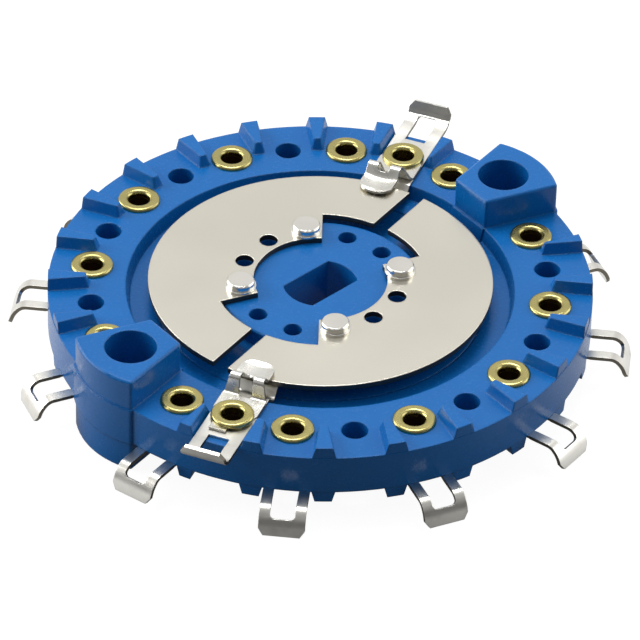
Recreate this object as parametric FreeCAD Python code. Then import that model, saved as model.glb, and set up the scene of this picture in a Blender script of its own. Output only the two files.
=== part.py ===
import FreeCAD, Part
import math
import os

# Loose contact section of a rotary switch: a moulded ring that carries eyeleted clips on both faces,
# and a moulded rotor that carries contact plates through the clips' jaws.
# Lengths in millimetres, angles in degrees. The origin is on the turning axis, level with the lower
# ends of the two mounting bosses. +Z is up. Stations count clockwise from +Y, seen from above.

# Rotor, from the axis outwards
SHAFT_HOLE_DIAMETER = 6.43
SHAFT_HOLE_FLATS = 3.66
SHAFT_HOLE_TURN = 24.8
RIVET_CIRCLE_RADIUS = 6.95
RIVET_HOLE_RADIUS = 0.8
RIVET_HOLE_COUNT = 12
HUB_RIM = 1.85
HUB_STAND = 0.3
HUB_CHAMFER = 0.15
PLATE_TAB_MARGIN = 0.4
PLATE_TAB_HALF_ANGLE = 56.5
PLATE_STEP = 0.4
PLATE_BAND = 4.95
PLATE_OVERHANG = 0.65
PLATE_THICKNESS = 0.5
PLATE_JOINT_OVERLAP = 0.5
PLATE_GAP = 1.5
PLATE_CENTRE_TURN = 103.0
BOTTOM_PLATE_CLEARANCE = 1.1
NOSE_WIDTH = 4.2
NOSE_CORNER = 0.6
RIVET_HEAD_RADIUS = 1.2
RIVET_HEAD_HEIGHT = 0.75
RIVET_COLLAR = 0.14
RIVET_COLLAR_HEIGHT = 0.18
RIVET_EDGE = 0.12
RIVET_CLEARANCE = 0.03
RUNNING_CLEARANCE = 0.08

# Ring, from the rotor outwards
JAW_SPACE = 1.9
WALL_DRAFT = 0.35
STATION_INSET = 3.1
RIM_WIDTH = 3.6
RING_THICKNESS = 3.6
LEDGE_DEPTH = 1.25
STATION_COUNT = 24
STATION_HOLE_RADIUS = 1.13
RIB_HEIGHT = 1.03
RIB_NOSE_WIDTH = 1.07
RIM_STEP = 0.04
RIB_NOSE_LEAN = 0.35
RIB_NOSE_ROUNDING = 0.2
CHANNEL_CLEARANCE = 0.1
CHANNEL_DRAFT = 0.28
BOSS_STATION_NUMBERS = range(2, STATION_COUNT, STATION_COUNT // 2)
BOSS_STAND = 2.9
BOSS_BORE_RADIUS = 2.22
BOSS_BORE_INSET = 0.5
BOSS_OVERHANG = 0.1
BOSS_INNER_HALF_WIDTH = 2.1
BOSS_OUTER_HALF_WIDTH = 4.05
BOSS_SHOULDER_INSET = 0.1
BOSS_BULGE = 0.95
BOSS_STAND_INSET = 0.12
BOSS_ROUNDING = 0.25
BUTTRESS_RELIEF = 0.3
BUTTRESS_DRAFT = 0.3

# Clips: a terminal leaf on the ring and a grip leaf on the terminal leaf
TERMINAL_THICKNESS = 0.25
GRIP_THICKNESS = 0.2
CLIP_WIDTH = 3.9
TOP_CLIP_NUMBERS = range(0, STATION_COUNT, STATION_COUNT // 2)
BOTTOM_CLIP_NUMBERS = range(1, STATION_COUNT, 2)
CLIP_NUMBERS_BEFORE_A_BOSS = range(1, STATION_COUNT, STATION_COUNT // 2)
CLIP_NUMBERS_AFTER_A_BOSS = (3,)
CLIP_SHIFT_ANGLE = 1.0
JAW_CLEARANCE = 0.05
JAW_REACH = 1.75
JAW_WIDTH = 3.0
TOP_JAW_OFFSETS = (0.35, -0.1)
JAW_TIP_ROUNDING = 1.15
JAW_TOE_LENGTH = 0.5
JAW_TOE_RISE = 0.1
ARCH_INSET = 0.35
ARCH_RISE = 1.5
ARCH_FOOT_INSET = 0.25
PAD_END_OVERLAP = 0.5
WINDOW_CREST_WIDTH = 1.0
WINDOW_FOOT_WIDTH = 1.7
WINDOW_MARGIN = 0.1
WINDOW_REACH = 0.3
LOWER_PAD_LENGTH = 0.9
LOWER_TOE_LENGTH = 0.5
LOWER_TOE_DROP = 0.25
LOWER_BOW = 1.0
LOWER_BOW_INSET = 1.3
LOWER_ROOT_INSET = 0.3
BEND_RADIUS = 0.3
WIDE_BEND_RADIUS = 0.6
TAIL_SHOULDER_INSET = 0.6
TAIL_WAIST_REACH = 1.1
TAIL_WAIST_WIDTH = 2.6
TONGUE_ROOT_REACH = 1.45
TONGUE_WIDTH = 1.5
TONGUE_REACH = 2.45
TONGUE_TIP_LENGTH = 0.4
TONGUE_TIP_RISE = 0.2
SLOT_WIDTH = 2.0
SLOT_INSET = 2.85
SLOT_LENGTH = 3.85
TOP_SLOT_LENGTH = 3.3
SLOT_ROUNDING = 0.7
LIP_STAND_OUT = 1.9
TOP_LIP_STAND_OUT = 1.65
LIP_BEND_RADIUS = 1.2
LIP_ANGLE = 72.0
LIP_LENGTH = 1.4
TOP_LIP_LENGTH = 0.86
LIP_CHAMFER_WIDTH = 0.4
LIP_CHAMFER_LENGTH = 0.62

# Eyelets
EYELET_CLEARANCE = 0.03
EYELET_WALL = 0.175
EYELET_FLANGE = 0.74
EYELET_FLANGE_THICKNESS = 0.31
EYELET_FLANGE_ROUNDING = 0.25

# Sizes that follow from the ones above
MID_Z = BOSS_STAND + RING_THICKNESS / 2
BOTTOM_FLOOR = BOSS_STAND
TOP_FLOOR = BOSS_STAND + RING_THICKNESS
BOSS_TOP = TOP_FLOOR + BOSS_STAND
HUB_RADIUS = RIVET_CIRCLE_RADIUS + HUB_RIM
PLATE_TAB_INNER_RADIUS = RIVET_CIRCLE_RADIUS - RIVET_HOLE_RADIUS - PLATE_TAB_MARGIN
PLATE_BAND_INNER_RADIUS = HUB_RADIUS + PLATE_STEP
FLANGE_RADIUS = PLATE_BAND_INNER_RADIUS + PLATE_BAND
PLATE_OUTER_RADIUS = FLANGE_RADIUS + PLATE_OVERHANG
RING_INNER_RADIUS = PLATE_OUTER_RADIUS + JAW_SPACE
LEDGE_WALL_RADIUS = RING_INNER_RADIUS - WALL_DRAFT
STATION_RADIUS = RING_INNER_RADIUS + STATION_INSET
RING_OUTER_RADIUS = STATION_RADIUS + RIM_WIDTH
PLATE_UNDERSIDE = TOP_FLOOR + HUB_STAND
PLATE_TOP = PLATE_UNDERSIDE + PLATE_THICKNESS
CLIP_STACK = TERMINAL_THICKNESS + GRIP_THICKNESS
CHANNEL_HALF_WIDTH = CLIP_WIDTH / 2 + CHANNEL_CLEARANCE
JAW_TIP_RADIUS = PLATE_OUTER_RADIUS - JAW_REACH
BOTTOM_PLATE_RADIUS = JAW_TIP_RADIUS - BOTTOM_PLATE_CLEARANCE
PITCH = 360.0 / STATION_COUNT

UP = FreeCAD.Vector(0, 0, 1)
CENTRE = FreeCAD.Vector(0, 0, 0)


def point(x, y, z):
    return FreeCAD.Vector(x, y, z)


def turned(shape, clockwise):
    """A copy turned clockwise about the switch axis, from its first place along +Y."""
    copy = shape.copy()
    copy.rotate(CENTRE, UP, 90.0 - clockwise)
    return copy


def station_turn(station):
    """Clockwise place of a station. The clips beside a boss stand a little away from it."""
    if station in CLIP_NUMBERS_BEFORE_A_BOSS:
        return PITCH * station - CLIP_SHIFT_ANGLE
    if station in CLIP_NUMBERS_AFTER_A_BOSS:
        return PITCH * station + CLIP_SHIFT_ANGLE
    return PITCH * station


def turned_over(shape):
    """The same piece laid on the other face: half a turn about the +X line through the ring's middle."""
    copy = shape.copy()
    copy.rotate(point(0, 0, MID_Z), point(1, 0, 0), 180.0)
    return copy


def mirrored(shape):
    return shape.mirror(point(0, 0, MID_Z), UP)


def polygon(points):
    return Part.Face(Part.makePolygon(points + [points[0]]))


def plate_outline(points, low, high):
    """A straight prism between two heights over an outline of (x, y) points."""
    face = polygon([point(x, y, low) for x, y in points])
    return face.extrude(point(0, 0, high - low))


def pipe(inner_radius, outer_radius, low, high):
    outer = Part.makeCylinder(outer_radius, high - low, point(0, 0, low))
    return outer.cut(Part.makeCylinder(inner_radius, high - low, point(0, 0, low)))


def revolved(points):
    face = polygon([point(radius, 0, height) for radius, height in points])
    return face.revolve(CENTRE, UP, 360)


def sector(half_angle, radius, low, high):
    """A pie slice about the +X line."""
    reach = 2 * radius
    x = reach * math.cos(math.radians(half_angle))
    y = reach * math.sin(math.radians(half_angle))
    return plate_outline([(0, 0), (x, -y), (2 * reach, 0), (x, y)], low, high)


def strip(corners, bend_radii, thickness, width):
    """Bent sheet: its middle line runs through (x, z) corners, with a bend radius at each inner corner."""
    sides = {1: [], -1: []}
    middle = [FreeCAD.Vector(x, 0, z) for x, z in corners]
    for side in sides:
        edges = []
        direction = (middle[1] - middle[0]).normalize()
        normal = point(-direction.z, 0, direction.x)
        start = middle[0] + normal * (side * thickness / 2)
        for index in range(1, len(middle) - 1):
            following = (middle[index + 1] - middle[index]).normalize()
            next_normal = point(-following.z, 0, following.x)
            turn = math.atan2(direction.x * following.z - direction.z * following.x, direction.dot(following))
            way = 1 if turn > 0 else -1
            radius = bend_radii[index - 1]
            setback = radius * math.tan(abs(turn) / 2)
            bend_centre = middle[index] - direction * setback + normal * (way * radius)
            side_radius = radius - side * way * thickness / 2
            bend_start = bend_centre - normal * (way * side_radius)
            bend_end = bend_centre - next_normal * (way * side_radius)
            outwards = ((bend_start - bend_centre) + (bend_end - bend_centre)).normalize()
            bend_middle = bend_centre + outwards * side_radius
            edges.append(Part.LineSegment(start, bend_start).toShape())
            edges.append(Part.Arc(bend_start, bend_middle, bend_end).toShape())
            start = bend_end
            direction = following
            normal = next_normal
        end = middle[-1] + normal * (side * thickness / 2)
        edges.append(Part.LineSegment(start, end).toShape())
        sides[side] = (edges, end)
    first_direction = (middle[1] - middle[0]).normalize()
    half = point(-first_direction.z, 0, first_direction.x) * (thickness / 2)
    cap_start = Part.LineSegment(middle[0] + half, middle[0] - half).toShape()
    cap_end = Part.LineSegment(sides[1][1], sides[-1][1]).toShape()
    outline = Part.Wire(Part.__sortEdges__(sides[1][0] + sides[-1][0] + [cap_start, cap_end]))
    solid = Part.Face(outline).extrude(point(0, width, 0))
    solid.translate(point(0, -width / 2, 0))
    return solid


def upright_edges(shape, places):
    """The shape's straight upright edges at the given (x, y) places."""
    found = []
    for edge in shape.Edges:
        first = edge.Vertexes[0].Point
        last = edge.Vertexes[-1].Point
        is_upright = abs(first.x - last.x) < 1e-6 and abs(first.y - last.y) < 1e-6
        near = any(math.hypot(first.x - x, first.y - y) < 1e-4 for x, y in places)
        if is_upright and near and abs(first.z - last.z) > 1e-6:
            found.append(edge)
    return found


# The moulded ring

def channel_cutter(station):
    """The trough with drafted sides that the clips of one station lie in."""
    half_width = CHANNEL_HALF_WIDTH
    rise = 2 * RIB_HEIGHT
    spread = CHANNEL_DRAFT * rise / RIB_HEIGHT
    section = polygon([
        point(RING_INNER_RADIUS, -half_width, TOP_FLOOR),
        point(RING_INNER_RADIUS, half_width, TOP_FLOOR),
        point(RING_INNER_RADIUS, half_width + spread, TOP_FLOOR + rise),
        point(RING_INNER_RADIUS, -half_width - spread, TOP_FLOOR + rise),
    ])
    trough = section.extrude(point(RING_OUTER_RADIUS, 0, 0))
    return turned(trough, station_turn(station))


def rib(station):
    """The wedge left standing between the channels of one station and the next."""
    outer = RING_OUTER_RADIUS - RIM_STEP
    slant = math.radians(PITCH / 2)
    inner = (CHANNEL_HALF_WIDTH + RIB_NOSE_WIDTH / 2 * math.cos(slant)) / math.sin(slant)
    band = revolved([
        (inner, TOP_FLOOR),
        (outer, TOP_FLOOR),
        (outer, TOP_FLOOR + RIB_HEIGHT),
        (inner + RIB_NOSE_LEAN, TOP_FLOOR + RIB_HEIGHT),
    ])
    wedge = sector(PITCH / 2, RING_OUTER_RADIUS, TOP_FLOOR, TOP_FLOOR + RIB_HEIGHT)
    block = band.common(turned(wedge, PITCH * (station + 0.5)))
    block = block.cut(channel_cutter(station)).cut(channel_cutter((station + 1) % STATION_COUNT))
    nose_edges = []
    crest_corners = []
    for edge in block.Edges:
        low, high = sorted((edge.Vertexes[0].Point, edge.Vertexes[-1].Point), key=lambda corner: corner.z)
        climbs = high.z - low.z > RIB_HEIGHT / 2
        if climbs and math.hypot(low.x, low.y) < (inner + outer) / 2:
            nose_edges.append(edge)
            crest_corners.append(high)
    half_crest = (crest_corners[0] - crest_corners[1]).Length / 2
    return block.makeFillet(min(RIB_NOSE_ROUNDING, 0.8 * half_crest), nose_edges)


def boss_block(inset, low, high):
    """Part of a boss between two heights: flat towards the rotor and bulging past the ring's rim."""
    inner = RING_INNER_RADIUS - BOSS_OVERHANG
    shoulder = RING_OUTER_RADIUS - BOSS_SHOULDER_INSET - inset
    crown = RING_OUTER_RADIUS + BOSS_BULGE - inset
    outer_half = BOSS_OUTER_HALF_WIDTH - inset
    low_inner = point(inner, -BOSS_INNER_HALF_WIDTH, low)
    low_outer = point(shoulder, -outer_half, low)
    high_outer = point(shoulder, outer_half, low)
    high_inner = point(inner, BOSS_INNER_HALF_WIDTH, low)
    outline = Part.Wire([
        Part.LineSegment(high_inner, low_inner).toShape(),
        Part.LineSegment(low_inner, low_outer).toShape(),
        Part.Arc(low_outer, point(crown, 0, low), high_outer).toShape(),
        Part.LineSegment(high_outer, high_inner).toShape(),
    ])
    block = Part.Face(outline).extrude(point(0, 0, high - low))
    corners = [(corner.x, corner.y) for corner in (low_inner, low_outer, high_outer, high_inner)]
    return block.makeFillet(BOSS_ROUNDING, upright_edges(block, corners))


def boss(station):
    """One mounting boss: a wide middle in the ring, and a slightly narrower stand on each face."""
    stand = boss_block(BOSS_STAND_INSET, TOP_FLOOR, BOSS_TOP)
    rim = [edge for edge in stand.Edges if edge.BoundBox.ZMin > BOSS_TOP - BOSS_ROUNDING]
    stand = stand.makeFillet(BOSS_ROUNDING, rim)
    whole = boss_block(0, BOTTOM_FLOOR, TOP_FLOOR).multiFuse([stand, mirrored(stand)])
    return turned(whole, PITCH * station)


def boss_bore(station):
    place = point(STATION_RADIUS + BOSS_BORE_INSET, 0, 0)
    return turned(Part.makeCylinder(BOSS_BORE_RADIUS, BOSS_TOP, place), PITCH * station)


def buttress(station):
    """The boss's flat inner side, carried down with draft to the ledge."""
    ledge = TOP_FLOOR - LEDGE_DEPTH
    face = RING_INNER_RADIUS - BUTTRESS_RELIEF
    back = STATION_RADIUS + BOSS_BORE_INSET - BOSS_BORE_RADIUS
    section = polygon([
        point(face, -BOSS_INNER_HALF_WIDTH, TOP_FLOOR),
        point(back, -BOSS_INNER_HALF_WIDTH, TOP_FLOOR),
        point(back, -BOSS_INNER_HALF_WIDTH, ledge),
        point(face - BUTTRESS_DRAFT, -BOSS_INNER_HALF_WIDTH, ledge),
    ])
    return turned(section.extrude(point(0, 2 * BOSS_INNER_HALF_WIDTH, 0)), PITCH * station)


def stator_ring():
    ledge_top = TOP_FLOOR - LEDGE_DEPTH
    ledge_bottom = BOTTOM_FLOOR + LEDGE_DEPTH
    bore = FLANGE_RADIUS + RUNNING_CLEARANCE
    body = revolved([
        (RING_OUTER_RADIUS, BOTTOM_FLOOR),
        (RING_OUTER_RADIUS, TOP_FLOOR),
        (RING_INNER_RADIUS, TOP_FLOOR),
        (LEDGE_WALL_RADIUS, ledge_top),
        (bore, ledge_top),
        (bore, ledge_bottom),
        (LEDGE_WALL_RADIUS, ledge_bottom),
        (RING_INNER_RADIUS, BOTTOM_FLOOR),
    ])
    additions = []
    beside_bosses = {(station + step) % STATION_COUNT for station in BOSS_STATION_NUMBERS for step in (-1, 0)}
    for station in range(STATION_COUNT):
        if station not in beside_bosses:
            upper = rib(station)
            additions.append(upper)
            additions.append(mirrored(upper))
    for station in BOSS_STATION_NUMBERS:
        foot = buttress(station)
        additions.append(boss(station))
        additions.append(foot)
        additions.append(mirrored(foot))
    ring = body.multiFuse(additions)
    holes = []
    for station in range(STATION_COUNT):
        if station in BOSS_STATION_NUMBERS:
            holes.append(boss_bore(station))
        else:
            place = point(STATION_RADIUS, 0, 0)
            hole = Part.makeCylinder(STATION_HOLE_RADIUS, BOSS_TOP, place)
            holes.append(turned(hole, station_turn(station)))
    return ring.cut(Part.makeCompound(holes)).removeSplitter()


# The clips

def terminal_leaf(slot_length, lip_stand_out, lip_length):
    """Leaf that lies on the ring: solder lip outside, lower jaw inside. Drawn along +X on the top floor."""
    flat = TOP_FLOOR + TERMINAL_THICKNESS / 2
    contact = PLATE_UNDERSIDE - JAW_CLEARANCE - TERMINAL_THICKNESS / 2
    pad_outer = JAW_TIP_RADIUS + LOWER_TOE_LENGTH + LOWER_PAD_LENGTH
    root = RING_INNER_RADIUS - LOWER_ROOT_INSET
    lip_corner = RING_OUTER_RADIUS + lip_stand_out + LIP_BEND_RADIUS * math.tan(math.radians(LIP_ANGLE / 2))
    lip_run = LIP_BEND_RADIUS * math.tan(math.radians(LIP_ANGLE / 2)) + lip_length
    along = point(math.cos(math.radians(LIP_ANGLE)), 0, math.sin(math.radians(LIP_ANGLE)))
    across = point(-along.z, 0, along.x)
    lip_end = point(lip_corner, 0, flat) + along * lip_run
    leaf = strip(
        [
            (JAW_TIP_RADIUS, contact - LOWER_TOE_DROP),
            (JAW_TIP_RADIUS + LOWER_TOE_LENGTH, contact),
            (pad_outer, contact),
            (RING_INNER_RADIUS - LOWER_BOW_INSET, flat - LOWER_BOW),
            (root, flat),
            (lip_corner, flat),
            (lip_end.x, lip_end.z),
        ],
        [WIDE_BEND_RADIUS, WIDE_BEND_RADIUS, WIDE_BEND_RADIUS, BEND_RADIUS, LIP_BEND_RADIUS],
        TERMINAL_THICKNESS,
        CLIP_WIDTH,
    )
    slot = Part.makeBox(slot_length, SLOT_WIDTH, BOSS_TOP, point(STATION_RADIUS + SLOT_INSET, -SLOT_WIDTH / 2, 0))
    slot_end = STATION_RADIUS + SLOT_INSET + slot_length
    slot = slot.makeFillet(
        SLOT_ROUNDING, upright_edges(slot, [(slot_end, -SLOT_WIDTH / 2), (slot_end, SLOT_WIDTH / 2)])
    )
    corners = []
    for side in (-1, 1):
        edge = lip_end + point(0, side * CLIP_WIDTH / 2, 0) - across
        corner = polygon([
            edge + along * LIP_CHAMFER_LENGTH - point(0, 2 * side * LIP_CHAMFER_WIDTH, 0),
            edge - along * LIP_CHAMFER_LENGTH,
            edge + along * LIP_CHAMFER_LENGTH,
        ])
        corners.append(corner.extrude(across * 2))
    hole = Part.makeCylinder(STATION_HOLE_RADIUS, BOSS_TOP, point(STATION_RADIUS, 0, 0))
    leaf = leaf.common(jaw_outline(CLIP_WIDTH, 0.0, lip_end.x + TERMINAL_THICKNESS))
    return leaf.cut(Part.makeCompound([slot, hole] + corners)).removeSplitter()


def jaw_outline(width, offset, outer_end):
    """Plan of a leaf from its rounded jaw tip outwards, as a tall prism."""
    length = outer_end - JAW_TIP_RADIUS
    block = Part.makeBox(length, width, BOSS_TOP, point(JAW_TIP_RADIUS, offset - width / 2, 0))
    places = [(JAW_TIP_RADIUS, offset - width / 2), (JAW_TIP_RADIUS, offset + width / 2)]
    return block.makeFillet(JAW_TIP_ROUNDING, upright_edges(block, places))


def grip_leaf(jaw_offset):
    """Leaf on top of the terminal leaf: two legs arch over to the upper jaw, with a window between them."""
    flat = TOP_FLOOR + TERMINAL_THICKNESS + GRIP_THICKNESS / 2
    contact = PLATE_TOP + JAW_CLEARANCE + GRIP_THICKNESS / 2
    pad_outer = PLATE_OUTER_RADIUS + PAD_END_OVERLAP
    crest = RING_INNER_RADIUS - ARCH_INSET
    foot = RING_INNER_RADIUS + ARCH_FOOT_INSET
    tongue_end = STATION_RADIUS + TONGUE_REACH
    leaf = strip(
        [
            (JAW_TIP_RADIUS, contact + JAW_TOE_RISE),
            (JAW_TIP_RADIUS + JAW_TOE_LENGTH, contact),
            (pad_outer, contact),
            (crest, contact + ARCH_RISE),
            (foot, flat),
            (tongue_end - TONGUE_TIP_LENGTH, flat),
            (tongue_end, flat + TONGUE_TIP_RISE),
        ],
        [WIDE_BEND_RADIUS, WIDE_BEND_RADIUS, BEND_RADIUS, BEND_RADIUS, BEND_RADIUS],
        GRIP_THICKNESS,
        2 * CLIP_WIDTH,
    )
    side = [
        (foot, CLIP_WIDTH / 2),
        (STATION_RADIUS - TAIL_SHOULDER_INSET, CLIP_WIDTH / 2),
        (STATION_RADIUS + TAIL_WAIST_REACH, TAIL_WAIST_WIDTH / 2),
        (STATION_RADIUS + TONGUE_ROOT_REACH, TONGUE_WIDTH / 2),
        (tongue_end + GRIP_THICKNESS, TONGUE_WIDTH / 2),
    ]
    other_side = [(x, -y) for x, y in reversed(side)]
    body = plate_outline(side + other_side, 0, BOSS_TOP)
    window_crest = pad_outer + WINDOW_MARGIN
    window_foot = foot + WINDOW_REACH
    window = plate_outline(
        [
            (window_crest, jaw_offset - WINDOW_CREST_WIDTH / 2),
            (crest, jaw_offset - WINDOW_CREST_WIDTH / 2),
            (window_foot, -WINDOW_FOOT_WIDTH / 2),
            (window_foot, WINDOW_FOOT_WIDTH / 2),
            (crest, jaw_offset + WINDOW_CREST_WIDTH / 2),
            (window_crest, jaw_offset + WINDOW_CREST_WIDTH / 2),
        ],
        0,
        BOSS_TOP,
    )
    hole = Part.makeCylinder(STATION_HOLE_RADIUS, BOSS_TOP, point(STATION_RADIUS, 0, 0))
    plan = body.fuse(jaw_outline(JAW_WIDTH, jaw_offset, foot + WINDOW_MARGIN))
    return leaf.common(plan).cut(Part.makeCompound([window, hole])).removeSplitter()


def eyelet(low_seat, high_seat):
    """Tube with a rolled flange at each end, drawn about the station axis along +X."""
    barrel = STATION_HOLE_RADIUS - EYELET_CLEARANCE
    bore = barrel - EYELET_WALL
    flange = barrel + EYELET_FLANGE
    thickness = EYELET_FLANGE_THICKNESS
    rounding = EYELET_FLANGE_ROUNDING
    lean = math.sqrt(0.5)
    edges = []
    for seat, way in ((high_seat, 1), (low_seat, -1)):
        face = seat + way * thickness
        mouth_start = point(bore, 0, seat)
        mouth_middle = point(bore + thickness * (1 - lean), 0, seat + way * thickness * lean)
        mouth_end = point(bore + thickness, 0, face)
        edge_start = point(flange - rounding, 0, face)
        edge_middle = point(flange - rounding * (1 - lean), 0, face - way * rounding * (1 - lean))
        edge_end = point(flange, 0, face - way * rounding)
        edges.append(Part.Arc(mouth_start, mouth_middle, mouth_end).toShape())
        edges.append(Part.LineSegment(mouth_end, edge_start).toShape())
        edges.append(Part.Arc(edge_start, edge_middle, edge_end).toShape())
        edges.append(Part.LineSegment(edge_end, point(flange, 0, seat)).toShape())
        edges.append(Part.LineSegment(point(flange, 0, seat), point(barrel, 0, seat)).toShape())
    edges.append(Part.LineSegment(point(barrel, 0, high_seat), point(barrel, 0, low_seat)).toShape())
    edges.append(Part.LineSegment(point(bore, 0, high_seat), point(bore, 0, low_seat)).toShape())
    outline = Part.Wire(Part.__sortEdges__(edges))
    solid = Part.Face(outline).revolve(CENTRE, UP, 360)
    solid.translate(point(STATION_RADIUS, 0, 0))
    return solid


# The rotor

def rivet_turn(index):
    """Clockwise place of one hole of the rivet circle, evenly spaced about the middle of plate A."""
    return PLATE_CENTRE_TURN + (index + 0.5) * 360.0 / RIVET_HOLE_COUNT


def on_rivet_circle(shape, index):
    copy = shape.copy()
    copy.translate(point(RIVET_CIRCLE_RADIUS, 0, 0))
    return turned(copy, rivet_turn(index))


def rivet_holes():
    drill = Part.makeCylinder(RIVET_HOLE_RADIUS, BOSS_TOP)
    return Part.makeCompound([on_rivet_circle(drill, index) for index in range(RIVET_HOLE_COUNT)])


def rotor_hub():
    """Moulded hub: a thick middle disc and a thin flange that turns inside the ring's ledge."""
    top = TOP_FLOOR + HUB_STAND
    bottom = BOTTOM_FLOOR - HUB_STAND
    web_top = TOP_FLOOR - LEDGE_DEPTH
    web_bottom = BOTTOM_FLOOR + LEDGE_DEPTH
    body = revolved([
        (0, bottom),
        (HUB_RADIUS - HUB_CHAMFER, bottom),
        (HUB_RADIUS, bottom + HUB_CHAMFER),
        (HUB_RADIUS, web_bottom),
        (FLANGE_RADIUS, web_bottom),
        (FLANGE_RADIUS, web_top),
        (HUB_RADIUS, web_top),
        (HUB_RADIUS, top - HUB_CHAMFER),
        (HUB_RADIUS - HUB_CHAMFER, top),
        (0, top),
    ])
    round_hole = Part.makeCylinder(SHAFT_HOLE_DIAMETER / 2, BOSS_TOP)
    flats = Part.makeBox(
        SHAFT_HOLE_DIAMETER,
        SHAFT_HOLE_FLATS,
        BOSS_TOP,
        point(-SHAFT_HOLE_DIAMETER / 2, -SHAFT_HOLE_FLATS / 2, 0),
    )
    shaft_hole = turned(round_hole.common(flats), SHAFT_HOLE_TURN)
    return body.cut(Part.makeCompound([shaft_hole, rivet_holes()])).removeSplitter()


def top_plate():
    """Half-ring contact plate with a riveted tab inside, drawn about the +X line."""
    low = PLATE_UNDERSIDE
    high = PLATE_TOP
    band = pipe(PLATE_BAND_INNER_RADIUS, PLATE_OUTER_RADIUS, low, high)
    tab = pipe(PLATE_TAB_INNER_RADIUS, PLATE_BAND_INNER_RADIUS + PLATE_JOINT_OVERLAP, low, high)
    tab = tab.common(sector(PLATE_TAB_HALF_ANGLE, PLATE_OUTER_RADIUS, low, high))
    half_space = Part.makeBox(
        2 * PLATE_OUTER_RADIUS,
        4 * PLATE_OUTER_RADIUS,
        2 * PLATE_THICKNESS,
        point(PLATE_GAP / 2, -2 * PLATE_OUTER_RADIUS, low - PLATE_THICKNESS / 2),
    )
    return band.fuse(tab).common(half_space).removeSplitter()


def bottom_plate():
    """Sector contact plate with one nose that reaches the clips, drawn about the +X line."""
    high = BOTTOM_FLOOR - HUB_STAND
    low = high - PLATE_THICKNESS
    web = pipe(PLATE_TAB_INNER_RADIUS, BOTTOM_PLATE_RADIUS, low, high)
    web = web.common(sector(PLATE_TAB_HALF_ANGLE, PLATE_OUTER_RADIUS, low, high))
    nose = Part.makeBox(
        PLATE_OUTER_RADIUS, NOSE_WIDTH, PLATE_THICKNESS, point(PLATE_BAND_INNER_RADIUS, -NOSE_WIDTH / 2, low)
    )
    nose = nose.common(Part.makeCylinder(PLATE_OUTER_RADIUS, PLATE_THICKNESS, point(0, 0, low)))
    tip = math.sqrt(PLATE_OUTER_RADIUS ** 2 - NOSE_WIDTH ** 2 / 4)
    nose = nose.makeFillet(NOSE_CORNER, upright_edges(nose, [(tip, -NOSE_WIDTH / 2), (tip, NOSE_WIDTH / 2)]))
    return web.fuse(nose).removeSplitter()


def rivet():
    """Rivet through both plates and the hub, with a flat head on a wider collar at each end."""
    shank = RIVET_HOLE_RADIUS - RIVET_CLEARANCE
    collar = RIVET_HEAD_RADIUS + RIVET_COLLAR
    half = PLATE_TOP - MID_Z
    upper = [
        (shank, half),
        (collar, half),
        (collar, half + RIVET_COLLAR_HEIGHT),
        (RIVET_HEAD_RADIUS, half + RIVET_COLLAR_HEIGHT),
        (RIVET_HEAD_RADIUS, half + RIVET_HEAD_HEIGHT - RIVET_EDGE),
        (RIVET_HEAD_RADIUS - RIVET_EDGE, half + RIVET_HEAD_HEIGHT),
        (0, half + RIVET_HEAD_HEIGHT),
    ]
    lower = [(radius, -height) for radius, height in reversed(upper)]
    return revolved([(radius, MID_Z + height) for radius, height in upper + lower])


def export(shape, name):
    shape.exportStep(os.path.join("parts", name + ".step"))
    size = shape.BoundBox
    kind = "ok" if shape.isValid() and len(shape.Solids) == 1 else "CHECK"
    print(f"{name:24s} {kind} volume {shape.Volume:9.3f}  z {size.ZMin:6.3f} to {size.ZMax:6.3f}")


def main():
    os.makedirs("parts", exist_ok=True)
    export(stator_ring(), "stator_ring")
    terminal = terminal_leaf(SLOT_LENGTH, LIP_STAND_OUT, LIP_LENGTH)
    top_terminal = terminal_leaf(TOP_SLOT_LENGTH, TOP_LIP_STAND_OUT, TOP_LIP_LENGTH)
    grip = grip_leaf(0.0)
    high_eyelet = eyelet(BOTTOM_FLOOR, TOP_FLOOR + CLIP_STACK)
    low_eyelet = eyelet(BOTTOM_FLOOR - CLIP_STACK, TOP_FLOOR)
    for station, jaw_offset in zip(TOP_CLIP_NUMBERS, TOP_JAW_OFFSETS):
        turn = station_turn(station)
        export(turned(top_terminal, turn), f"terminal_leaf_{station:02d}")
        export(turned(grip_leaf(jaw_offset), turn), f"grip_leaf_{station:02d}")
        export(turned(high_eyelet, turn), f"eyelet_{station:02d}")
    for station in BOTTOM_CLIP_NUMBERS:
        turn = station_turn(station)
        export(turned(turned_over(terminal), turn), f"terminal_leaf_{station:02d}")
        export(turned(turned_over(grip), turn), f"grip_leaf_{station:02d}")
        export(turned(low_eyelet, turn), f"eyelet_{station:02d}")
    export(rotor_hub(), "rotor_hub")
    holes = rivet_holes()
    for letter, turn in (("a", PLATE_CENTRE_TURN), ("b", PLATE_CENTRE_TURN + 180.0)):
        export(turned(top_plate(), turn).cut(holes), f"contact_plate_top_{letter}")
        export(turned(bottom_plate(), turn).cut(holes), f"contact_plate_bottom_{letter}")
    for number, index in enumerate((1, 4, 7, 10), start=1):
        export(on_rivet_circle(rivet(), index), f"rotor_rivet_{number}")


main()
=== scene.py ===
import bmesh
import bpy
import math
from mathutils import Matrix, Vector


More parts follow.
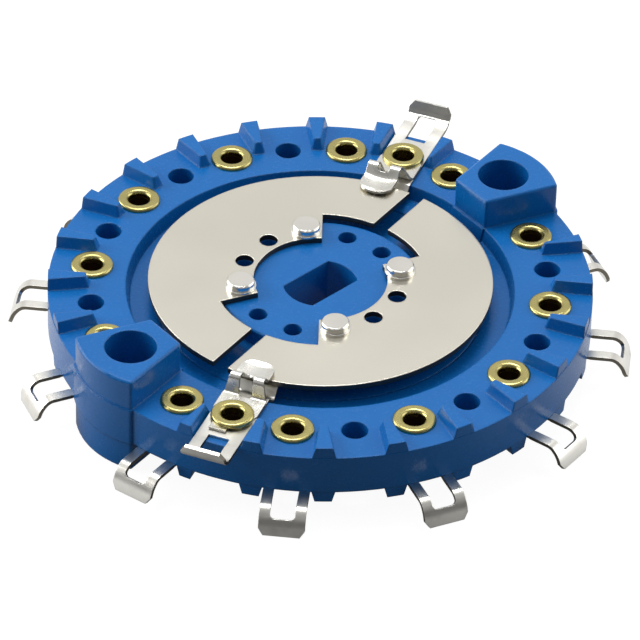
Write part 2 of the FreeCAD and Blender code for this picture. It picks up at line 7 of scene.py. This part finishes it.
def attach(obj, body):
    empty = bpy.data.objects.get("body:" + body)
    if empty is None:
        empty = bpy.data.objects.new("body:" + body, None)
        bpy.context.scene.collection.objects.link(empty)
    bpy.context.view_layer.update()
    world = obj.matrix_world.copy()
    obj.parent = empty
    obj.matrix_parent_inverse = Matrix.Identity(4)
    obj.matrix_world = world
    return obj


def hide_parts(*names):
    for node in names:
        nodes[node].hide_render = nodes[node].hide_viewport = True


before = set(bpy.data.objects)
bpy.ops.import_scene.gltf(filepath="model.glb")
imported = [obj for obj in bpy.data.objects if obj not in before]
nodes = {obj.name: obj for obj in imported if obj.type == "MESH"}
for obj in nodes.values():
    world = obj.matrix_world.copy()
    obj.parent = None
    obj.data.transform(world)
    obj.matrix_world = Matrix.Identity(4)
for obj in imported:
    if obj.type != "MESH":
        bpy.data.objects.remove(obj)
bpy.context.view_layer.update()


# The view.
# The section is seen from above at 38 degrees, past station 0 at the back and station 12 in front,
# through a long lens that stands about half a metre away.
mm = 0.001
view_turn = math.radians(20.7724)
view_down = math.radians(37.873)
view_roll = math.radians(1.5269)
view_offset = Vector((-0.03, -2.926, 467.35)) * mm
deck_height = 6.5 * mm
sensor_width = 36.0
lens_length = 306.24

view_axes = (
    Matrix.Rotation(view_turn, 3, "Z")
    @ Matrix.Rotation(math.pi / 2 - view_down, 3, "X")
    @ Matrix.Rotation(view_roll, 3, "Z")
)
camera_data = bpy.data.cameras.new("camera")
camera_data.sensor_width = sensor_width
camera_data.lens = lens_length
camera = bpy.data.objects.new("camera", camera_data)
camera_place = view_axes @ view_offset + Vector((0, 0, deck_height))
camera.matrix_world = Matrix.Translation(camera_place) @ view_axes.to_4x4()
bpy.context.scene.collection.objects.link(camera)
bpy.context.scene.camera = camera


# The stator ring.
# One injection moulding in a blue glass-filled plastic, with a fine satin skin from the mould. The ribs
# between the clip channels, the two mounting bosses and the inner ledge all come out of the same tool.
plastic_blue = (0.003, 0.126, 0.412, 1.0)
plastic_blue_deep = (0.003, 0.116, 0.384, 1.0)
plastic_cloud_size = 6 * mm
plastic_skin_size = 0.35 * mm
plastic_skin_depth = 0.004 * mm
plastic_edge_rounding = 0.24 * mm
plastic_roughness = (0.20, 0.30)
plastic_ior = 1.5
plastic_specular = 0.3
edge_samples = 4


def start_material(name):
    """A new material, with its node tree and its shader."""
    material = bpy.data.materials.new(name)
    material.use_nodes = True
    return material, material.node_tree, material.node_tree.nodes["Principled BSDF"]


def plug(tree, value, socket):
    """A fixed value or another node's output, into a socket."""
    if isinstance(value, bpy.types.NodeSocket):
        tree.links.new(value, socket)
    else:
        socket.default_value = value


def grain(tree, size, detail):
    """Noise fixed to the piece, whose spots are about size metres across."""
    place = tree.nodes.new("ShaderNodeTexCoord")
    noise = tree.nodes.new("ShaderNodeTexNoise")
    noise.inputs["Scale"].default_value = 1.0 / size
    noise.inputs["Detail"].default_value = detail
    tree.links.new(place.outputs["Object"], noise.inputs["Vector"])
    return noise.outputs["Fac"]


def spread(tree, source, low, high, start=0.3, end=0.7, shape="LINEAR"):
    """The values between start and end, laid over the range from low to high."""
    ramp = tree.nodes.new("ShaderNodeMapRange")
    ramp.interpolation_type = shape
    ramp.inputs["From Min"].default_value = start
    ramp.inputs["From Max"].default_value = end
    ramp.inputs["To Min"].default_value = low
    ramp.inputs["To Max"].default_value = high
    tree.links.new(source, ramp.inputs["Value"])
    return ramp.outputs["Result"]


def blend(tree, kind, share, first, second):
    """A colour (RGBA) or number (FLOAT) that goes from the first to the second as the share rises to 1."""
    first_socket, second_socket, result = {"RGBA": (6, 7, 2), "FLOAT": (2, 3, 0)}[kind]
    mix = tree.nodes.new("ShaderNodeMix")
    mix.data_type = kind
    plug(tree, share, mix.inputs[0])
    plug(tree, first, mix.inputs[first_socket])
    plug(tree, second, mix.inputs[second_socket])
    return mix.outputs[result]


def relief(tree, source, depth, edge_rounding):
    """Bump of the given depth in metres, over edges that are rounded a little."""
    edge = tree.nodes.new("ShaderNodeBevel")
    edge.samples = edge_samples
    edge.inputs["Radius"].default_value = edge_rounding
    bump = tree.nodes.new("ShaderNodeBump")
    bump.inputs["Strength"].default_value = 1.0
    bump.inputs["Distance"].default_value = depth
    tree.links.new(source, bump.inputs["Height"])
    tree.links.new(edge.outputs["Normal"], bump.inputs["Normal"])
    return bump.outputs["Normal"]


def moulded_plastic():
    material, tree, shader = start_material("moulded_blue_plastic")
    clouds = spread(tree, grain(tree, plastic_cloud_size, detail=3.0), 0.0, 1.0)
    skin = grain(tree, plastic_skin_size, detail=6.0)
    plug(tree, blend(tree, "RGBA", clouds, plastic_blue, plastic_blue_deep), shader.inputs["Base Color"])
    plug(tree, spread(tree, skin, *plastic_roughness), shader.inputs["Roughness"])
    plug(tree, relief(tree, skin, plastic_skin_depth, plastic_edge_rounding), shader.inputs["Normal"])
    shader.inputs["IOR"].default_value = plastic_ior
    shader.inputs["Specular IOR Level"].default_value = plastic_specular
    return material


def dress(node_names, material):
    for name in node_names:
        for slot in nodes[name].material_slots:
            slot.material = material


blue_plastic = moulded_plastic()
dress(["stator_ring"], blue_plastic)


# The terminal leaves.
# Hard brass strip, tinned bright for soldering. The outer end is the slotted lip for the wire, bent away
# from the ring; the inner end dips into the ring and comes up under the rotor plate as the lower jaw. The
# stamped edges are cut after tinning and show bare metal, painted much darker still as painted shade.
tin_bright = (0.80, 0.785, 0.73, 1.0)
tin_dull = (0.62, 0.605, 0.55, 1.0)
# Painted shade: the colour of the strip's cut edges, far darker than bare brass.
cut_edge_painted_shade = (0.16, 0.145, 0.115, 1.0)
cut_edge_roughness = 0.45
side_facing = (0.5, 0.8)
dulled_spots = (0.45, 0.8)
rougher_spots = (0.4, 0.8)
strip_edge_rounding = 0.08 * mm
up = Vector((0.0, 0.0, 1.0))

top_stations = (0, 12)
lower_stations = tuple(range(1, 24, 2))
clip_stations = top_stations + lower_stations
station_degrees = 15
clip_shift_degrees = {1: -1, 3: 1, 13: -1}
middle_height = 4.7 * mm
ring_floor = 6.5 * mm
ring_radius = 23.4 * mm
seat_radius = 19.8 * mm
seat_hole = 1.13 * mm
clip_width = 3.9 * mm
strip_gauge = 0.25 * mm
lip_gauge = 0.33 * mm
gauge_step = 0.2 * mm
jaw_tip = 13.05 * mm
jaw_tip_rounding = 1.15 * mm
lower_jaw_line = [
    (jaw_tip, -0.25 * mm),
    (13.55 * mm, 0),
    (14.45 * mm, 0),
    (15.4 * mm, -1.0 * mm),
    (16.4 * mm, 0),
]
lower_jaw_bends = [0.6 * mm, 0.6 * mm, 0.6 * mm, 0.3 * mm]
slot_start = 22.65 * mm
slot_corner = 0.4 * mm
lip_corner_cut = (0.62 * mm, 0.4 * mm)
bend_step = math.radians(7)
dish_strips = 8
run_slack = 0.0001 * mm
bend_reach = 0.001 * mm
sharp_from = math.radians(40)


def number_step(tree, kind, *values):
    step = tree.nodes.new("ShaderNodeMath")
    step.operation = kind
    for value, socket in zip(values, step.inputs):
        plug(tree, value, socket)
    return step.outputs["Value"]


def vector_step(tree, kind, *values, result="Value"):
    """A step with vectors, whose result is a number unless it is asked for as a vector."""
    step = tree.nodes.new("ShaderNodeVectorMath")
    step.operation = kind
    for value, socket in zip(values, step.inputs):
        plug(tree, value, socket)
    return step.outputs[result]


def painted_shade_on_side_cuts(tree):
    """1 on the edges cut along a clip, whose faces look sideways, and 0 on the rolled faces; it lays painted
    shade on the cut edges.
    """
    surface = tree.nodes.new("ShaderNodeNewGeometry")
    sideways = vector_step(tree, "CROSS_PRODUCT", up, surface.outputs["Position"], result="Vector")
    sideways = vector_step(tree, "NORMALIZE", sideways, result="Vector")
    facing = vector_step(tree, "DOT_PRODUCT", surface.outputs["Normal"], sideways)
    return spread(tree, number_step(tree, "ABSOLUTE", facing), 0.0, 1.0, *side_facing)


def plated_metal(name, bright, dull, dull_size, smooth, rough, dent_depth, dent_size, edge_rounding,
                 painted_shade_faces=None, painted_shade_metal=None):
    """Plated metal: soft dents from forming, spots of dulled plating, and a dark colour on the masked faces,
    which is painted shade laid over bare metal on cut edges and over tarnish in a bore.
    """
    material, tree, shader = start_material(name)
    dents = grain(tree, dent_size, detail=2.0)
    dulling = grain(tree, dull_size, detail=4.0)
    plating = blend(tree, "RGBA", spread(tree, dulling, 0.0, 1.0, *dulled_spots), bright, dull)
    sheen = spread(tree, dulling, smooth, rough, *rougher_spots)
    # Painted shade: the masked faces are darkened, on top of their bare metal on cut edges and tarnish in a
    # bore.
    if painted_shade_faces:
        cuts = painted_shade_faces(tree)
        plating = blend(tree, "RGBA", cuts, plating, painted_shade_metal)
        sheen = blend(tree, "FLOAT", cuts, sheen, cut_edge_roughness)
    plug(tree, plating, shader.inputs["Base Color"])
    plug(tree, sheen, shader.inputs["Roughness"])
    plug(tree, relief(tree, dents, dent_depth, edge_rounding), shader.inputs["Normal"])
    shader.inputs["Metallic"].default_value = 1.0
    return material


def line_with_arcs(corners, radii):
    """Points along a line through the corners, with an arc of the given radius at each inner one."""
    points = [Vector(corners[0])]
    for before, corner, after, radius in zip(corners, corners[1:], corners[2:], radii):
        corner = Vector(corner)
        if not radius:
            points.append(corner)
            continue
        arrive = (corner - Vector(before)).normalized()
        leave = (Vector(after) - corner).normalized()
        turn = math.atan2(arrive.x * leave.y - arrive.y * leave.x, arrive.dot(leave))
        across = Vector((-arrive.y, arrive.x)) * math.copysign(radius, turn)
        start = corner - arrive * radius * math.tan(abs(turn) / 2)
        steps = max(2, math.ceil(abs(turn) / bend_step))
        for step in range(steps + 1):
            points.append(start + across - Matrix.Rotation(turn * step / steps, 2) @ across)
    points.append(Vector(corners[-1]))
    return points


def closed_outline(corners, radii):
    """A closed outline with its corners rounded."""
    middle = (Vector(corners[0]) + Vector(corners[-1])) / 2
    return line_with_arcs([middle, *corners, middle], radii)[:-1]


def round_hole(centre, radius, sides=32):
    turns = [2 * math.pi * side / sides for side in range(sides)]
    return [Vector((centre + radius * math.cos(turn), radius * math.sin(turn))) for turn in turns]


def runs_along(line):
    """How far along the sheet each point of a bend line is, counted so that it is the radius at the rim."""
    runs = [0.0]
    for first, second in zip(line, line[1:]):
        runs.append(runs[-1] + (second - first).length)
    rim = min(range(len(line)), key=lambda index: abs(line[index].x - ring_radius))
    return [run - runs[rim] + line[rim].x for run in runs]


def stamped_leaf(outlines, line, gauge, outer_gauge, dish=None):
    """A flat blank with its holes, given as (run, sideways) outlines, bent along a line of (radius, height).

    A dish is (middle, half width, rise, inner run, outer run): how the sheet's sides curl up near the tip.
    """
    runs = runs_along(line)
    leaf = bmesh.new()
    edges = []
    for outline in outlines:
        corners = [leaf.verts.new((run, sideways, 0)) for run, sideways in outline]
        edges += [leaf.edges.new(pair) for pair in zip(corners, corners[1:] + corners[:1])]
    bmesh.ops.triangle_fill(leaf, use_beauty=True, edges=edges)
    cuts = [((run, 0, 0), (1, 0, 0)) for run in runs[1:-1]]
    if dish:
        middle, half_width, rise, inner_run, outer_run = dish
        places = [middle + half_width * (2 * strip / dish_strips - 1) for strip in range(1, dish_strips)]
        cuts += [((0, place, 0), (0, 1, 0)) for place in places]
    for place, normal in cuts:
        flat_parts = leaf.verts[:] + leaf.edges[:] + leaf.faces[:]
        bmesh.ops.bisect_plane(leaf, geom=flat_parts, plane_co=place, plane_no=normal)
    for part in bmesh.ops.extrude_face_region(leaf, geom=leaf.faces[:])["geom"]:
        if isinstance(part, bmesh.types.BMVert):
            part.co.z = 1
    bmesh.ops.recalc_face_normals(leaf, faces=leaf.faces[:])
    ways = [(second - first).normalized() for first, second in zip(line, line[1:])]
    for vert in leaf.verts:
        run, sideways, side = vert.co
        index = max([place for place in range(len(ways)) if runs[place] <= run + run_slack], default=0)
        spot = line[index] + ways[index] * (run - runs[index])
        way = ways[index]
        if index and run - runs[index] < bend_reach:
            way = (ways[index - 1] + way).normalized()
        thickness = outer_gauge if line[index].x > ring_radius else gauge
        spot += Vector((-way.y, way.x)) * thickness * (side - 0.5)
        if dish:
            share = min(1, max(0, (outer_run - run) / (outer_run - inner_run)))
            spot.y += rise * share * ((sideways - middle) / half_width) ** 2
        vert.co = (spot.x, sideways, spot.y)
    mesh = bpy.data.meshes.new("leaf")
    leaf.to_mesh(mesh)
    leaf.free()
    return mesh


def place_leaf(name, mesh, station, material, node):
    """A leaf drawn on top of the ring along +X, moved to its station; the lower ones are turned over."""
    turn = math.radians(90 - station_degrees * station - clip_shift_degrees.get(station, 0))
    place = Matrix.Rotation(turn, 4, "Z")
    if station not in top_stations:
        place = place @ Matrix.Translation((0, 0, 2 * middle_height)) @ Matrix.Rotation(math.pi, 4, "X")
    mesh = mesh.copy()
    mesh.transform(place)
    mesh.shade_smooth()
    mesh.set_sharp_from_angle(angle=sharp_from)
    mesh.materials.append(material)
    leaf = bpy.data.objects.new(name, mesh)
    bpy.context.scene.collection.objects.link(leaf)
    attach(leaf, "stator")
    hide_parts(node)


def terminal_leaf(lip_line, lip_bends, slot_end, slot_width):
    """A terminal leaf, whose lip line is given as (radius, height above the strip)."""
    flat = ring_floor + strip_gauge / 2
    rim_line = [(ring_radius, 0), (ring_radius + gauge_step, 0)]
    line = line_with_arcs(
        [(radius, flat + height) for radius, height in lower_jaw_line + rim_line + lip_line],
        lower_jaw_bends + [0, 0] + lip_bends,
    )
    runs = runs_along(line)
    tip, end = runs[0], runs[-1]
    half = clip_width / 2
    back, inwards = lip_corner_cut
    blank = closed_outline(
        [
            (seat_radius, -half),
            (end - back, -half),
            (end, -half + inwards),
            (end, half - inwards),
            (end - back, half),
            (tip, half),
            (tip, -half),
        ],
        [0, 0, 0, 0, 0, jaw_tip_rounding, jaw_tip_rounding],
    )
    slot = closed_outline(
        [
            (slot_start, -slot_width / 2),
            (slot_end, -slot_width / 2),
            (slot_end, slot_width / 2),
            (slot_start, slot_width / 2),
        ],
        [0, slot_corner, slot_corner, 0],
    )
    outlines = [blank, slot, round_hole(seat_radius, seat_hole)]
    return stamped_leaf(outlines, line, strip_gauge, lip_gauge)


tinned_strip = plated_metal(
    "tinned_terminal_strip",
    bright=tin_bright,
    dull=tin_dull,
    dull_size=1.2 * mm,
    smooth=0.28,
    rough=0.40,
    dent_depth=0.004 * mm,
    dent_size=2.2 * mm,
    edge_rounding=strip_edge_rounding,
    painted_shade_faces=painted_shade_on_side_cuts,
    painted_shade_metal=cut_edge_painted_shade,
)
lower_leaf = terminal_leaf(
    lip_line=[(25.67 * mm, 0), (26.39 * mm, 0.72 * mm), (26.79 * mm, 1.98 * mm)],
    lip_bends=[1.05 * mm, 2.3 * mm],
    slot_end=26.5 * mm,
    slot_width=2.1 * mm,
)
top_leaves = {
    0: terminal_leaf(
        lip_line=[(25.78 * mm, 0), (26.4 * mm, 0.62 * mm), (26.77 * mm, 1.52 * mm)],
        lip_bends=[1.5 * mm, 1.3 * mm],
        slot_end=26.2 * mm,
        slot_width=1.85 * mm,
    ),
    12: terminal_leaf(
        lip_line=[(25.53 * mm, 0), (26.1 * mm, 0.57 * mm), (26.34 * mm, 1.47 * mm)],
        lip_bends=[1.3 * mm, 1.3 * mm],
        slot_end=25.9 * mm,
        slot_width=1.85 * mm,
    ),
}
for station in clip_stations:
    place_leaf(f"formed_terminal_{station:02d}", top_leaves.get(station, lower_leaf), station, tinned_strip,
               f"terminal_leaf_{station:02d}")


# The grip leaves.
# Thinner spring bronze, silver plated, laid on the terminal leaf and held by the same eyelet. Two legs arch
# over the ring's inner edge to the upper jaw, a shallow spoon that presses on the rotor plate. At the outer
# end a small tongue shows past the eyelet.
silver_bright = (0.80, 0.785, 0.735, 1.0)
silver_dull = (0.60, 0.59, 0.53, 1.0)
# Painted shade: the colour of the grip leaf's cut edges, darker than bare bronze.
grip_cut_edge_painted_shade = (0.30, 0.28, 0.24, 1.0)
grip_gauge = 0.2 * mm
jaw_width = 3.0 * mm
jaw_level = 7.45 * mm
jaw_toe_end = 13.6 * mm
jaw_toe_rise = 0.13 * mm
jaw_pad_end = 15.25 * mm
jaw_dish_rise = 0.2 * mm
jaw_dish_end = 14.9 * mm
jaw_shift = {0: 0.35 * mm, 12: -0.1 * mm}
arch_top = (16.3 * mm, 8.9 * mm)
arch_foot = 16.95 * mm
arch_foot_inset = 0.1 * mm
window_start = 15.65 * mm
window_end = 17.2 * mm
window_width = (1.0 * mm, 1.2 * mm)
window_corner = 0.25 * mm
shoulder_radius = 19.2 * mm
tail_radius = 20.9 * mm
tail_half_width = 1.3 * mm
tongue_root = 21.0 * mm
tongue_width = 1.5 * mm
tongue_end = {0: 21.5 * mm, 12: 22.05 * mm}
tongue_shift = {0: 0.0, 12: -0.45 * mm}
tongue_tip_length = 0.35 * mm
tongue_tip_rise = 0.04 * mm
grip_bends = [0.6 * mm, 0.7 * mm, 0.45 * mm, 0.35 * mm, 0.2 * mm]


def run_at(line, radius):
    """How far along the sheet a bend line first reaches a radius."""
    for first, second, run in zip(line, line[1:], runs_along(line)):
        if radius < second.x:
            return run + (radius - first.x) / (second.x - first.x) * (second - first).length


def grip_leaf(jaw_middle, tongue_middle, end):
    """A grip leaf with its jaw and its tongue set a little to one side."""
    flat = ring_floor + strip_gauge + grip_gauge / 2
    line = line_with_arcs(
        [
            (jaw_tip, jaw_level + jaw_toe_rise),
            (jaw_toe_end, jaw_level),
            (jaw_pad_end, jaw_level),
            arch_top,
            (arch_foot, flat),
            (end - tongue_tip_length, flat),
            (end, flat + tongue_tip_rise),
        ],
        grip_bends,
    )
    tip = runs_along(line)[0]
    window_tip = run_at(line, window_start)
    crest = run_at(line, arch_top[0])
    foot = run_at(line, arch_foot)
    half = clip_width / 2
    half_jaw = jaw_width / 2
    sides = [
        (crest, half_jaw, jaw_middle),
        (foot, half - arch_foot_inset, 0),
        (window_end, half, 0),
        (shoulder_radius, half, 0),
        (tail_radius, tail_half_width, 0),
        (tongue_root, tongue_width / 2, tongue_middle),
        (end, tongue_width / 2, tongue_middle),
    ]
    blank = closed_outline(
        [(run, middle - width) for run, width, middle in sides]
        + [(run, middle + width) for run, width, middle in reversed(sides)]
        + [(tip, jaw_middle + half_jaw), (tip, jaw_middle - half_jaw)],
        [0] * (2 * len(sides)) + [jaw_tip_rounding, jaw_tip_rounding],
    )
    inner, outer = (width / 2 for width in window_width)
    window = closed_outline(
        [
            (window_tip, jaw_middle - inner),
            (crest, jaw_middle - outer),
            (foot, -outer),
            (window_end, -outer),
            (window_end, outer),
            (foot, outer),
            (crest, jaw_middle + outer),
            (window_tip, jaw_middle + inner),
        ],
        [window_corner, 0, 0, window_corner, window_corner, 0, 0, window_corner],
    )
    dish = (jaw_middle, half_jaw, jaw_dish_rise, run_at(line, jaw_dish_end), window_tip)
    outlines = [blank, window, round_hole(seat_radius, seat_hole)]
    return stamped_leaf(outlines, line, grip_gauge, grip_gauge, dish)


silvered_spring = plated_metal(
    "silvered_spring_strip",
    bright=silver_bright,
    dull=silver_dull,
    dull_size=1.2 * mm,
    smooth=0.24,
    rough=0.34,
    dent_depth=0.004 * mm,
    dent_size=1.8 * mm,
    edge_rounding=strip_edge_rounding,
    painted_shade_faces=painted_shade_on_side_cuts,
    painted_shade_metal=grip_cut_edge_painted_shade,
)
dress([f"grip_leaf_{station:02d}" for station in lower_stations], silvered_spring)
for station in top_stations:
    leaf = grip_leaf(jaw_shift[station], tongue_shift[station], tongue_end[station])
    place_leaf(f"formed_grip_{station:02d}", leaf, station, silvered_spring,
               f"grip_leaf_{station:02d}")


# The eyelets.
# Rolled brass eyelets, one through each clip and the ring, clinched over on the far side. The bore is dull
# and painted dark, tarnish with painted shade inside the hollow; the rolled flanges are rubbed bright.
brass_bright = (0.49, 0.43, 0.17, 1.0)
brass_dull = (0.37, 0.315, 0.12, 1.0)
# Tarnish and painted shade: the dark colour inside the bore.
brass_tarnish_and_painted_shade = (0.11, 0.06, 0.032, 1.0)
bore_half_length = 1.6 * mm
bore_fade = 0.2 * mm


def painted_shade_inside_bore(tree):
    """1 where the eyelet runs through the ring, and 0 on its flanges: where tarnish and painted shade darken
    the bore.
    """
    surface = tree.nodes.new("ShaderNodeNewGeometry")
    height = vector_step(tree, "DOT_PRODUCT", surface.outputs["Position"], up)
    from_middle = number_step(tree, "ABSOLUTE", number_step(tree, "SUBTRACT", height, middle_height))
    return spread(tree, from_middle, 1.0, 0.0, bore_half_length - bore_fade, bore_half_length)


eyelet_brass = plated_metal(
    "rolled_brass",
    bright=brass_bright,
    dull=brass_dull,
    dull_size=0.9 * mm,
    smooth=0.22,
    rough=0.36,
    dent_depth=0.006 * mm,
    dent_size=1.0 * mm,
    edge_rounding=strip_edge_rounding,
    painted_shade_faces=painted_shade_inside_bore,
    painted_shade_metal=brass_tarnish_and_painted_shade,
)
dress([f"eyelet_{station:02d}" for station in clip_stations], eyelet_brass)


# The rotor hub.
# Moulded in the same blue plastic as the ring. Its thin flange turns inside the ring's ledge, and the
# hole in the middle has two flats for the shaft.
dress(["rotor_hub"], blue_plastic)


# The contact plates.
# Stamped sheet with a heavy silver plating, riveted to the hub: two half rings on top and two sectors with
# a nose below. The cut edges are bare, and all upright faces are painted dark as painted shade.
plate_bright = (0.765, 0.733, 0.640, 1.0)
plate_dull = (0.742, 0.710, 0.616, 1.0)
# Painted shade: the colour of the plates' upright faces, far darker than bare metal.
plate_cut_edge_painted_shade = (0.10, 0.09, 0.075, 1.0)
plate_edge_rounding = 0.16 * mm
upright_facing = (0.3, 0.6)


def painted_shade_on_upright_faces(tree):
    """1 on upright faces, such as a plate's cut edge, and 0 on level ones: where painted shade goes."""
    surface = tree.nodes.new("ShaderNodeNewGeometry")
    level = number_step(tree, "ABSOLUTE", vector_step(tree, "DOT_PRODUCT", surface.outputs["Normal"], up))
    return spread(tree, level, 1.0, 0.0, *upright_facing)


silvered_plate = plated_metal(
    "silvered_contact_plate",
    bright=plate_bright,
    dull=plate_dull,
    dull_size=8 * mm,
    smooth=0.22,
    rough=0.27,
    dent_depth=0.0015 * mm,
    dent_size=6 * mm,
    edge_rounding=plate_edge_rounding,
    painted_shade_faces=painted_shade_on_upright_faces,
    painted_shade_metal=plate_cut_edge_painted_shade,
)
dress([f"contact_plate_{face}_{half}" for face in ("top", "bottom") for half in "ab"], silvered_plate)


# The rotor's rivets.
# Four solid rivets, plated like the plates. Each goes through an upper plate, the hub and a lower plate,
# and has a flat pressed head above and below.
rivet_bright = (0.82, 0.80, 0.74, 1.0)
rivet_dull = (0.80, 0.775, 0.71, 1.0)
rivet_edge_rounding = 0.12 * mm

rivet_metal = plated_metal(
    "plated_rivet",
    bright=rivet_bright,
    dull=rivet_dull,
    dull_size=1.5 * mm,
    smooth=0.18,
    rough=0.26,
    dent_depth=0.003 * mm,
    dent_size=1.2 * mm,
    edge_rounding=rivet_edge_rounding,
)
dress([f"rotor_rivet_{number}" for number in (1, 2, 3, 4)], rivet_metal)


# The bench and the light.
# A matt white sheet under the section, whose shadow stays faint. A room with pale walls and a dark side in
# front, where the camera stands, with soft lamps overhead and at both sides. In reflections the sheet's
# glow carries painted shade: darker below the section, close in front of it and towards the dark side.
white = (1.0, 1.0, 1.0, 1.0)
bench_size = 3.0
bench_gap = 0.05 * mm
bench_grey = (0.13, 0.13, 0.13, 1.0)
bench_white = {"Is Camera Ray": 0.94, "Is Transmission Ray": 0.9}
bench_glow_under_painted_shade = (0.12, 0.80)
bench_painted_dark_side_edges = (0.72, 0.97)
painted_shade_reach = 12 * mm
painted_shade_radii = (16 * mm, 32 * mm)
painted_shade_below_ring_radii = (20.5 * mm, 24.5 * mm)
dark_side_turn = math.radians(154)
toward_the_front = Vector((math.sin(dark_side_turn), math.cos(dark_side_turn), 0.0))
room_dark_edges = (-0.3, 0.5)
room_bright = 0.74
room_dark = 0.11
room_foot = 1.12
room_foot_heights = (0.2, 0.5)
room_ceiling = 0.40
room_ceiling_heights = (0.35, 0.65)


def away_from_dark_side(tree, direction, edges, low, high):
    """High for most directions, and low for those within the dark side in front."""
    forward = vector_step(tree, "DOT_PRODUCT", direction, toward_the_front)
    return spread(tree, forward, high, low, *edges, "SMOOTHSTEP")


bench_material, bench_tree, bench_shader = start_material("white_bench")
bench_shader.inputs["Base Color"].default_value = bench_grey
bench_shader.inputs["Roughness"].default_value = 1.0
bench_shader.inputs["Specular IOR Level"].default_value = 0.0
bench_shader.inputs["Emission Color"].default_value = white
# Painted shade: where the glow that reflections see is dimmed, below and in front of the section.
bench_spot = bench_tree.nodes.new("ShaderNodeNewGeometry").outputs["Position"]
spot_direction = vector_step(bench_tree, "NORMALIZE", bench_spot, result="Vector")
from_painted_shade = vector_step(bench_tree, "DISTANCE", bench_spot, toward_the_front * painted_shade_reach)
from_axis = vector_step(bench_tree, "LENGTH", bench_spot)
outside_painted_dark_side = away_from_dark_side(bench_tree, spot_direction, bench_painted_dark_side_edges, 0.0, 1.0)
outside_painted_shade = spread(bench_tree, from_painted_shade, 0.0, 1.0, *painted_shade_radii, "SMOOTHSTEP")
outside_painted_ring_shade = spread(bench_tree, from_axis, 0.0, 1.0, *painted_shade_below_ring_radii, "SMOOTHSTEP")
painted_lit_share = number_step(bench_tree, "MULTIPLY", outside_painted_shade, outside_painted_ring_shade)
painted_lit_share = number_step(bench_tree, "MULTIPLY", outside_painted_dark_side, painted_lit_share)
ray = bench_tree.nodes.new("ShaderNodeLightPath")
# Painted shade: the glossy glow runs from its shaded low to its unshaded high.
sheen = spread(bench_tree, painted_lit_share, *bench_glow_under_painted_shade, 0.0, 1.0)
glow = number_step(bench_tree, "MULTIPLY", ray.outputs["Is Glossy Ray"], sheen)
for ray_kind, strength in bench_white.items():
    part = number_step(bench_tree, "MULTIPLY", ray.outputs[ray_kind], strength)
    glow = number_step(bench_tree, "ADD", glow, part)
plug(bench_tree, glow, bench_shader.inputs["Emission Strength"])

bench_mesh = bpy.data.meshes.new("bench")
bench_half = bench_size / 2
bench_sides = ((-1, -1), (1, -1), (1, 1), (-1, 1))
bench_corners = [(x * bench_half, y * bench_half, -bench_gap) for x, y in bench_sides]
bench_mesh.from_pydata(bench_corners, [], [(0, 1, 2, 3)])
bench = bpy.data.objects.new("bench", bench_mesh)
bench.data.materials.append(bench_material)
bpy.context.scene.collection.objects.link(bench)


def soft_lamp(name, turn, rise, distance, size, power):
    """A square lamp that faces the section from a compass turn (clockwise from +Y) and a rise above level."""
    angle = math.radians(90 - turn)
    height = math.radians(rise)
    place = Vector((math.cos(angle) * math.cos(height), math.sin(angle) * math.cos(height), math.sin(height)))
    data = bpy.data.lights.new(name, "AREA")
    data.size = size
    data.energy = power
    lamp = bpy.data.objects.new(name, data)
    lamp.location = place * distance
    lamp.rotation_euler = (-place).to_track_quat("-Z", "Y").to_euler()
    bpy.context.scene.collection.objects.link(lamp)


soft_lamp("overhead_lamp", turn=-30, rise=70, distance=0.6, size=0.3, power=1.85)
soft_lamp("left_lamp", turn=-100, rise=20, distance=0.6, size=0.5, power=2.9)
soft_lamp("right_lamp", turn=60, rise=20, distance=0.6, size=0.5, power=1.2)

room = bpy.data.worlds.new("room")
room.use_nodes = True
room_tree = room.node_tree
room_direction = room_tree.nodes.new("ShaderNodeTexCoord").outputs["Generated"]
room_height = vector_step(room_tree, "DOT_PRODUCT", room_direction, up)
foot = spread(room_tree, room_height, room_foot, 1.0, *room_foot_heights, "SMOOTHSTEP")
walls = away_from_dark_side(room_tree, room_direction, room_dark_edges, room_dark, room_bright)
walls = number_step(room_tree, "MULTIPLY", walls, foot)
ceiling = spread(room_tree, room_height, 0.0, room_ceiling, *room_ceiling_heights, "SMOOTHSTEP")
background = room_tree.nodes["Background"]
background.inputs["Color"].default_value = white
plug(room_tree, number_step(room_tree, "MAXIMUM", walls, ceiling), background.inputs["Strength"])
bpy.context.scene.world = room
bpy.context.scene.view_settings.view_transform = "Standard"
